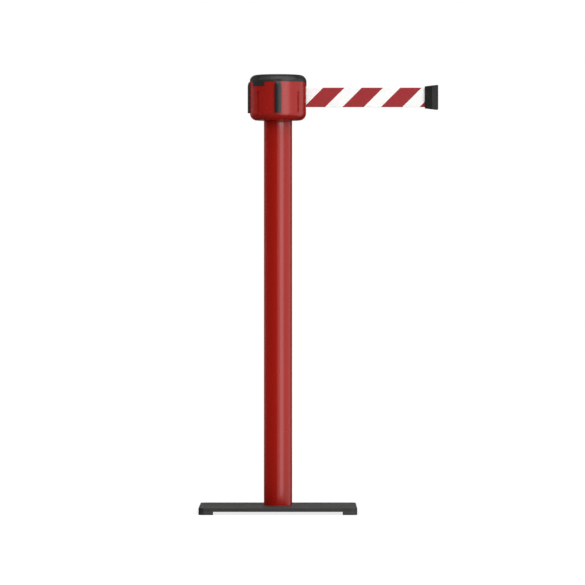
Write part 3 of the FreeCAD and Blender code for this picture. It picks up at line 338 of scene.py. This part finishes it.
upright_card("dark_right", DARK_FROM, PALE_FROM, CARD_BLACK)
upright_card("pale_back", PALE_FROM, GREY_FROM, CARD_PALE)
upright_card("grey_back", GREY_FROM, BLACK_AGAIN, CARD_GREY)
upright_card("dark_left", BLACK_AGAIN, DARK_TO, CARD_BLACK)
whole_turn = [DARK_FROM + CARD_STEP * k for k in range(round(360 / CARD_STEP))]
low_rim = [(bearing, CARD_DISTANCE if bearing <= DARK_TO else OPEN_REACH) for bearing in whole_turn]
level_card("low_card", low_rim + low_rim[:1], CARD_FOOT, CARD_BLACK)
back_turn = [HIGH_FROM + CARD_STEP * k for k in range(round((HIGH_TO - HIGH_FROM) / CARD_STEP) + 1)]
level_card("high_card", [(bearing, CARD_DISTANCE) for bearing in back_turn], CARD_TOP, CARD_BLACK)


# ---------------------------------------------------------------- base
# A square steel plate with a fine-textured black powder coat, on four moulded feet. The feet are
# screwed on from below, and one sunk bolt under the middle pulls the post down on the plate.

COAT_BLACK = (0.016, 0.016, 0.0145, 1.0)
COAT_WORN = (0.060, 0.059, 0.055, 1.0)
FOOT_BLACK = (0.020, 0.020, 0.020, 1.0)
ZINC = (0.60, 0.60, 0.57, 1.0)
ZINC_DULL = (0.42, 0.42, 0.40, 1.0)
COAT_GRAIN = 900.0           # the higher, the finer
FOOT_GRAIN = 1400.0
TURNING_GRAIN = 700.0
PLATE_EDGE = 0.0007          # radii of the eased edges
FOOT_EDGE = 0.0010
SHARP_EDGE = 34.0            # edges that turn by more degrees than this are eased
EDGE_STRIPS = 2
SAME_POINT = 2e-6            # points of a mesh that lie this near each other are one


def textured_black(name, plain, worn, grain):
    """A fine-textured black skin, dusty in places and scratched along one way."""
    finish = Finish(bpy.data.materials.new(name))
    place = finish.place()
    speckle = finish.noise(place, scale=grain, detail=2.0)
    dust = finish.noise(place, scale=9.0, detail=5.0, roughness=0.6).eased(0.50, 0.80)
    drawn = finish.stretched(place, (40.0, 4.0, 4.0))
    scratch = finish.noise(drawn, scale=12.0, detail=4.0).eased(0.66, 0.74)
    wear = (dust * 0.25 + scratch * 0.35).clipped()
    return finish.surface(
        Base_Color=finish.blended(wear, plain, worn),
        Roughness=0.50 + speckle * 0.14 + dust * 0.10,
        Specular_IOR_Level=0.40,
        Normal=finish.bump(speckle, depth=0.00030, strength=0.7),
    )


def bare_metal(name, bright, dull):
    """Bare or plated metal with fine turning marks round the upright axis, clouded in places."""
    finish = Finish(bpy.data.materials.new(name))
    place = finish.place()
    cloud = finish.noise(place, scale=120.0, detail=4.0)
    flattened = finish.stretched(place, (1.0, 1.0, 14.0))
    marks = finish.noise(flattened, scale=TURNING_GRAIN, detail=2.0)
    return finish.surface(
        Base_Color=finish.blended(cloud, dull, bright),
        Metallic=1.0,
        Roughness=0.24 + marks * 0.16,
        Normal=finish.bump(marks, depth=0.00003, strength=0.5),
    )


def ease_edges(piece, radius, sharp):
    """Rounds the edges that turn by more than sharp degrees, as paint or a mould leaves them."""
    joined = piece.modifiers.new("joined", "WELD")
    joined.merge_threshold = SAME_POINT
    eased = piece.modifiers.new("eased", "BEVEL")
    eased.limit_method = "ANGLE"
    eased.angle_limit = math.radians(sharp)
    eased.width = radius
    eased.segments = EDGE_STRIPS
    eased.use_clamp_overlap = True
    shaded = piece.modifiers.new("shaded", "WEIGHTED_NORMAL")
    shaded.keep_sharp = False


def dress(material, *nodes, ease=None, sharp=SHARP_EDGE):
    """Gives CAD nodes their finish and, where ease gives a radius, rounded edges."""
    for name in nodes:
        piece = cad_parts[name]
        piece.data.materials.clear()
        piece.data.materials.append(material)
        if ease is not None:
            ease_edges(piece, ease, sharp)


plate_black = textured_black("powder_coat_black", COAT_BLACK, COAT_WORN, COAT_GRAIN)
dress(plate_black, "base_plate", ease=PLATE_EDGE)
# The tube's gloss looks through the plate too, so its highlight stays even down to its foot.
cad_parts["base_plate"].visible_glossy = False
foot_black = textured_black("foot_plastic", FOOT_BLACK, COAT_WORN, FOOT_GRAIN)
dress(
    foot_black,
    "foot_front_left", "foot_front_right", "foot_back_left", "foot_back_right", ease=FOOT_EDGE,
)
zinc = bare_metal("zinc_plate", ZINC, ZINC_DULL)
dress(zinc, "foot_screws", "post_bolt")


# ---------------------------------------------------------------- post
# A steel tube with a smooth gloss red powder coat. It has a steel plug welded in its foot and a
# moulded plug in its top, both tapped for the bolts.

TUBE_RED = (0.35, 0.009, 0.004, 1.0)
TUBE_RED_DEEP = (0.29, 0.006, 0.003, 1.0)
STEEL = (0.48, 0.48, 0.48, 1.0)
STEEL_DULL = (0.34, 0.34, 0.33, 1.0)
PLUG_GREY = (0.16, 0.16, 0.16, 1.0)
PLUG_GREY_LIGHT = (0.24, 0.24, 0.23, 1.0)
MOULD_GRAIN = 1100.0
TUBE_WALL = 0.0018
TUBE_STEPS = 160             # straight strips round the tube
TUBE_BREAK = 0.0006          # rounding of its cut ends
RING_SPACING = 0.045


def gloss_red(name, plain, deep, peel, gloss):
    """A glossy red skin with a slight orange peel of that fineness, rubbed duller in places."""
    finish = Finish(bpy.data.materials.new(name))
    place = finish.place()
    cloud = finish.noise(place, scale=5.0)
    skin = finish.noise(place, scale=peel, detail=2.0)
    flattened = finish.stretched(place, (1.0, 1.0, 6.0))
    rub = finish.noise(flattened, scale=70.0, detail=5.0, roughness=0.6).eased(0.58, 0.76)
    return finish.surface(
        Base_Color=finish.blended(cloud * 0.6 + rub * 0.15, plain, deep),
        Roughness=gloss + skin * 0.04 + rub * 0.14,
        Normal=finish.bump(skin, depth=0.00006, strength=0.35),
    )


def moulded(name, plain, light, gloss=0.40, sheen=0.30):
    """Moulded plastic with a fine grain, a little lighter where it flowed in the mould."""
    finish = Finish(bpy.data.materials.new(name))
    place = finish.place()
    grit = finish.noise(place, scale=MOULD_GRAIN, detail=2.0)
    flow = finish.noise(place, scale=22.0, detail=4.0, roughness=0.6)
    return finish.surface(
        Base_Color=finish.blended(flow.eased(0.45, 0.85) * 0.5, plain, light),
        Roughness=gloss + grit * 0.10 + flow * 0.08,
        Specular_IOR_Level=sheen,
        Normal=finish.bump(grit, depth=0.00010, strength=0.7),
    )


def swept_round(name, profile, steps):
    """A closed mesh round the upright axis, from a closed loop of (radius, height) points."""
    mesh = bpy.data.meshes.new(name)
    count = len(profile)
    points = []
    faces = []
    for step in range(steps):
        turn = 2 * math.pi * step / steps
        points += [(radius * math.cos(turn), radius * math.sin(turn), z) for radius, z in profile]
        here = step * count
        after = (step + 1) % steps * count
        for k in range(count):
            beside = (k + 1) % count
            faces.append((here + k, after + k, after + beside, here + beside))
    mesh.from_pydata(points, [], faces)
    for face in mesh.polygons:
        face.use_smooth = True
    return mesh


def tube_profile(outer, wall, low, high):
    """(radius, height) round the tube's wall, with both cut ends a little rounded."""
    inner = outer - wall
    rings = max(2, round((high - low) / RING_SPACING))
    straight = high - low - 2 * TUBE_BREAK
    heights = [low + TUBE_BREAK + straight * k / rings for k in range(rings + 1)]
    corner = TUBE_BREAK * (1 - math.sqrt(0.5))
    foot = [
        (inner + corner, low + corner), (inner + TUBE_BREAK, low),
        (outer - TUBE_BREAK, low), (outer - corner, low + corner),
    ]
    top = [
        (outer - corner, high - corner), (outer - TUBE_BREAK, high),
        (inner + TUBE_BREAK, high), (inner + corner, high - corner),
    ]
    outside = [(outer, z) for z in heights]
    bore = [(inner, z) for z in reversed(heights)]
    return foot + outside + top + bore


tube_low, tube_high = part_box("post_tube")
tube_wall = tube_profile(tube_high[0], TUBE_WALL, tube_low[2], tube_high[2])
post_tube = new_piece("post_tube_coated", swept_round("post_tube_coated", tube_wall, TUBE_STEPS))
tube_red = gloss_red("red_powder_coat", TUBE_RED, TUBE_RED_DEEP, peel=260.0, gloss=0.17)
post_tube.data.materials.append(tube_red)
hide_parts("post_tube")
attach(post_tube, "stand")
plain_steel = bare_metal("plain_steel", STEEL, STEEL_DULL)
dress(plain_steel, "bottom_plug")
grey_plastic = moulded("grey_plastic", PLUG_GREY, PLUG_GREY_LIGHT)
dress(grey_plastic, "top_plug")


# ---------------------------------------------------------------- head
# A moulded gloss red housing, bolted down on the plug in the tube's top. A satin black cap is
# screwed on from above, and three satin black receiver rails are screwed on from inside.

HEAD_RED = (0.34, 0.009, 0.005, 1.0)
HEAD_RED_DEEP = (0.29, 0.007, 0.004, 1.0)
CAP_BLACK = (0.024, 0.024, 0.0245, 1.0)
CAP_BLACK_LIGHT = (0.038, 0.038, 0.039, 1.0)
RAIL_BLACK = (0.016, 0.016, 0.017, 1.0)
RAIL_BLACK_LIGHT = (0.030, 0.030, 0.031, 1.0)
HOUSING_EDGE = 0.0005
CAP_EDGE = 0.0004
RAIL_EDGE = 0.0004

head_red = gloss_red("head_gloss_red", HEAD_RED, HEAD_RED_DEEP, peel=420.0, gloss=0.23)
dress(head_red, "head_housing", ease=HOUSING_EDGE)
cap_black = moulded("cap_satin_black", CAP_BLACK, CAP_BLACK_LIGHT, gloss=0.26, sheen=0.20)
dress(cap_black, "cap", ease=CAP_EDGE)
rail_black = moulded("rail_satin_black", RAIL_BLACK, RAIL_BLACK_LIGHT, gloss=0.22)
dress(rail_black, "receiver_front", "receiver_left", "receiver_back", ease=RAIL_EDGE)
dress(zinc, "head_bolt", "head_washer", "receiver_screws", "cap_screws")


# ---------------------------------------------------------------- belt cassette
# Two plated steel plates, screwed to three posts, carry an axle in two brass bushes. A moulded
# spool is pinned on the axle. A guide with two rollers leads the belt from it to the mouth.

BRASS = (0.72, 0.50, 0.20, 1.0)
BRASS_DULL = (0.55, 0.38, 0.15, 1.0)
ROLLER_WHITE = (0.70, 0.69, 0.65, 1.0)
ROLLER_WHITE_LIGHT = (0.78, 0.77, 0.74, 1.0)

dress(zinc, "cassette_base", "cassette_top", "cassette_posts", "cassette_screws")
dress(bare_metal("turned_brass", BRASS, BRASS_DULL), "lower_bush", "upper_bush")
dress(plain_steel, "axle", "spool_pin", "roller_pins")
dress(grey_plastic, "spool", "spool_flange")
roller_white = moulded("roller_white", ROLLER_WHITE, ROLLER_WHITE_LIGHT)
dress(roller_white, "guide_roller_near", "guide_roller_far")
dress(moulded("guide_black", RAIL_BLACK, RAIL_BLACK_LIGHT, gloss=0.30), "belt_guide")


# ---------------------------------------------------------------- power spring
# A flat strip of blued steel, wound in a moulded case over the spool, with a lid screwed on it.
# Its outer end stays with the case. Its inner end sits in the axle's slot and turns with it.

BLUED = (0.24, 0.27, 0.33, 1.0)
BLUED_DARK = (0.14, 0.15, 0.18, 1.0)
STRIP_THICKNESS = 0.00035
SPRING_START = 0.005         # radius of the innermost turn
SPRING_HALF_TURNS = 26
ARC_STEPS = 20
TONGUE_BACK = -0.0015        # how far the inner end goes through the axle
TONGUE_GAP = 0.00025         # from the inner end, which turns, to the innermost turn
TONGUE_STEPS = 6


def spring_line(start, limit):
    """(x, y, outward x, outward y) along half circles that grow from start to limit."""
    grow = (limit - start) / SPRING_HALF_TURNS
    line = []
    for k in range(SPRING_HALF_TURNS):
        way = 1 - 2 * (k % 2)
        end_point = 1 if k == SPRING_HALF_TURNS - 1 else 0
        for step in range(ARC_STEPS + end_point):
            turn = math.pi * step / ARC_STEPS
            out_x, out_y = way * math.cos(turn), way * math.sin(turn)
            radius = start + k * grow
            line.append((grow * (k % 2) + radius * out_x, radius * out_y, out_x, out_y))
    return line


def tongue_line():
    """The same four values along the straight inner end."""
    length = SPRING_START - TONGUE_GAP - TONGUE_BACK
    steps = range(TONGUE_STEPS + 1)
    return [(TONGUE_BACK + length * k / TONGUE_STEPS, 0.0, 0.0, 1.0) for k in steps]


def spring_strip(name, line, low, high):
    """A strip that stands on edge along a line."""
    mesh = bpy.data.meshes.new(name)
    points = []
    for x, y, out_x, out_y in line:
        for side, z in ((-0.5, low), (0.5, low), (0.5, high), (-0.5, high)):
            out = side * STRIP_THICKNESS
            points.append((x + out * out_x, y + out * out_y, z))
    faces = [(0, 3, 2, 1)]
    for k in range(len(line) - 1):
        here, after = 4 * k, 4 * k + 4
        for j in range(4):
            beside = (j + 1) % 4
            faces.append((here + j, here + beside, after + beside, after + j))
    last = 4 * (len(line) - 1)
    faces.append((last, last + 1, last + 2, last + 3))
    mesh.from_pydata(points, [], faces)
    return mesh


blued = bare_metal("blued_spring", BLUED, BLUED_DARK)
spring_low, spring_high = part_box("power_spring")
turns_line = spring_line(SPRING_START, spring_high[0] - STRIP_THICKNESS / 2)
turns_mesh = spring_strip("spring_turns", turns_line, spring_low[2], spring_high[2])
turns_mesh.materials.append(blued)
spring_turns = new_piece("spring_turns", turns_mesh)
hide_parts("power_spring")
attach(spring_turns, "stand")
tongue_mesh = spring_strip("spring_tongue", tongue_line(), spring_low[2], spring_high[2])
tongue_mesh.materials.append(blued)
spring_tongue = new_piece("spring_tongue", tongue_mesh)
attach(spring_tongue, "spool")
dress(grey_plastic, "spring_case", "spring_lid")
dress(zinc, "spring_screws")


# ---------------------------------------------------------------- webbing
# A flat woven polyester belt, printed with red and white stripes that lean at 45 degrees. It
# comes out of the head, lies flat in an upright plane and ends in a loop round the belt end's bar.

PRINT_RED = (0.34, 0.017, 0.021, 1.0)
PRINT_WHITE = (0.915, 0.915, 0.905, 1.0)
# The next colour is painted shade of the weave between the printed threads, laid on the red print
# only.
WEAVE_PAINTED_SHADE = (0.10, 0.02, 0.02, 1.0)   # between the printed threads
STRIPE_PERIOD = 0.086
STRIPE_RED_SHARE = 0.56
STRIPE_START = -0.8464       # x - z of the left edge of the first stripe
STRIPE_EDGE = 0.004          # width of a stripe's soft edge, as a share of the period
WEFT_PITCH = 0.0011
WARP_PITCH = 0.0014
WEBBING_THICKNESS = 0.0007
SELVEDGE = 0.00012           # how much the woven edges stand out on each side
SELVEDGE_WIDTH = 0.0012
SQUARENESS = 60              # the higher, the less the edges are rolled
ACROSS = 26                  # strips across the belt's width
STATION = 0.0025             # length of one strip of the mesh
LOOP_STATIONS = 24
LOOP_RADIUS = 0.0021         # from the bar's axis to the middle of the webbing round it


def striped_webbing():
    """The stripes are placed in the world, so they keep their slope when the belt is drawn out."""
    finish = Finish(bpy.data.materials.new("striped_webbing"))
    place = finish.node("ShaderNodeNewGeometry", out="Position")
    x = finish.axis(place, "X")
    z = finish.axis(place, "Z")
    phase = ((x - z - STRIPE_START) / STRIPE_PERIOD).maths("FRACT")
    first_edge = phase.eased(0.0, STRIPE_EDGE)
    last_edge = phase.eased(STRIPE_RED_SHARE - STRIPE_EDGE, STRIPE_RED_SHARE)
    red = first_edge * (1.0 - last_edge)
    weft = (x * (2 * math.pi / WEFT_PITCH)).maths("SINE")
    warp = (z * (2 * math.pi / WARP_PITCH)).maths("SINE")
    weave = weft * warp * 0.5 + 0.5
    fluff = finish.noise(place, scale=900.0)
    printed = finish.blended(red, PRINT_WHITE, PRINT_RED)
    # The red print is darkened along the weave as painted shade between the threads, and at random
    # by the fluff as fibre tone.
    threads = finish.blended(weave * 0.14 + fluff * 0.10, printed, WEAVE_PAINTED_SHADE)
    return finish.surface(
        Base_Color=finish.blended(red, PRINT_WHITE, threads),
        Roughness=0.62 + weave * 0.14,
        Specular_IOR_Level=0.30,
        Normal=finish.bump(weave + fluff * 0.3, depth=0.00012, strength=0.6),
    )


def webbing_section(half):
    """(offset across the belt's plane, height) round one section, with thin rolled selvedges."""
    side = []
    for k in range(ACROSS + 1):
        height = -half * math.cos(math.pi * k / ACROSS)
        place = abs(height) / half
        selvedge = SELVEDGE * math.exp(-((1 - place) * half / SELVEDGE_WIDTH) ** 2)
        rolled = 1 - place ** SQUARENESS
        offset = WEBBING_THICKNESS / 2 * math.sqrt(max(0.0, rolled)) + selvedge * rolled
        side.append((offset, height))
    return side + [(-offset, height) for offset, height in reversed(side[1:-1])]


def strap_mesh(name, start, bar, low, high):
    """Sections of webbing from start along the straight run, and on round the bar at x = bar."""
    mesh = bpy.data.meshes.new(name)
    middle = (low + high) / 2
    section = webbing_section((high - low) / 2)
    count = len(section)
    run = bar - LOOP_RADIUS - start
    stations = round(run / STATION)
    points = []
    for k in range(stations + 1):
        x = start + run * k / stations
        points += [(x, offset, middle + height) for offset, height in section]
    for k in range(1, LOOP_STATIONS):
        turn = 2 * math.pi * k / LOOP_STATIONS
        for offset, height in section:
            out = LOOP_RADIUS + offset
            points.append((bar - out * math.cos(turn), out * math.sin(turn), middle + height))
    last = stations + LOOP_STATIONS - 1
    faces = []
    for k in range(last):
        here, after = k * count, (k + 1) * count
        for j in range(count):
            beside = (j + 1) % count
            faces.append((here + j, after + j, after + beside, here + beside))
    faces.append(tuple(range(count - 1, -1, -1)))
    faces.append(tuple(last * count + j for j in range(count)))
    mesh.from_pydata(points, [], faces)
    for face in mesh.polygons:
        face.use_smooth = len(face.vertices) == 4
    return mesh


webbing = striped_webbing()
strap_low, strap_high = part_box("belt_strap")
bar_low, bar_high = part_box("clip_bar")
bar_x = (bar_low[0] + bar_high[0]) / 2
belt_mesh = strap_mesh("belt_webbing", strap_low[0], bar_x, strap_low[2], strap_high[2])
belt_mesh.materials.append(webbing)
strap = new_piece("belt_webbing", belt_mesh)
strap.visible_glossy = False     # the gloss of the head doesn't show the belt
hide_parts("belt_strap")
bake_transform(strap)
dress(webbing, "belt_lead", "belt_coil")


# ---------------------------------------------------------------- belt end
# Two moulded halves, screwed together round a steel bar in the webbing's loop. The outer edge has
# the channel that drops over a receiver rail of the next post.

CLIP_BLACK = (0.015, 0.015, 0.014, 1.0)
CLIP_BLACK_LIGHT = (0.030, 0.030, 0.028, 1.0)
CLIP_EDGE = 0.0007
CLIP_SHARP = 12.0            # the halves have shallow edges that are eased too

clip_black = moulded("clip_satin_black", CLIP_BLACK, CLIP_BLACK_LIGHT, gloss=0.36, sheen=0.17)
dress(clip_black, "clip_front", "clip_back", ease=CLIP_EDGE, sharp=CLIP_SHARP)
dress(plain_steel, "clip_bar")
dress(zinc, "clip_screws")
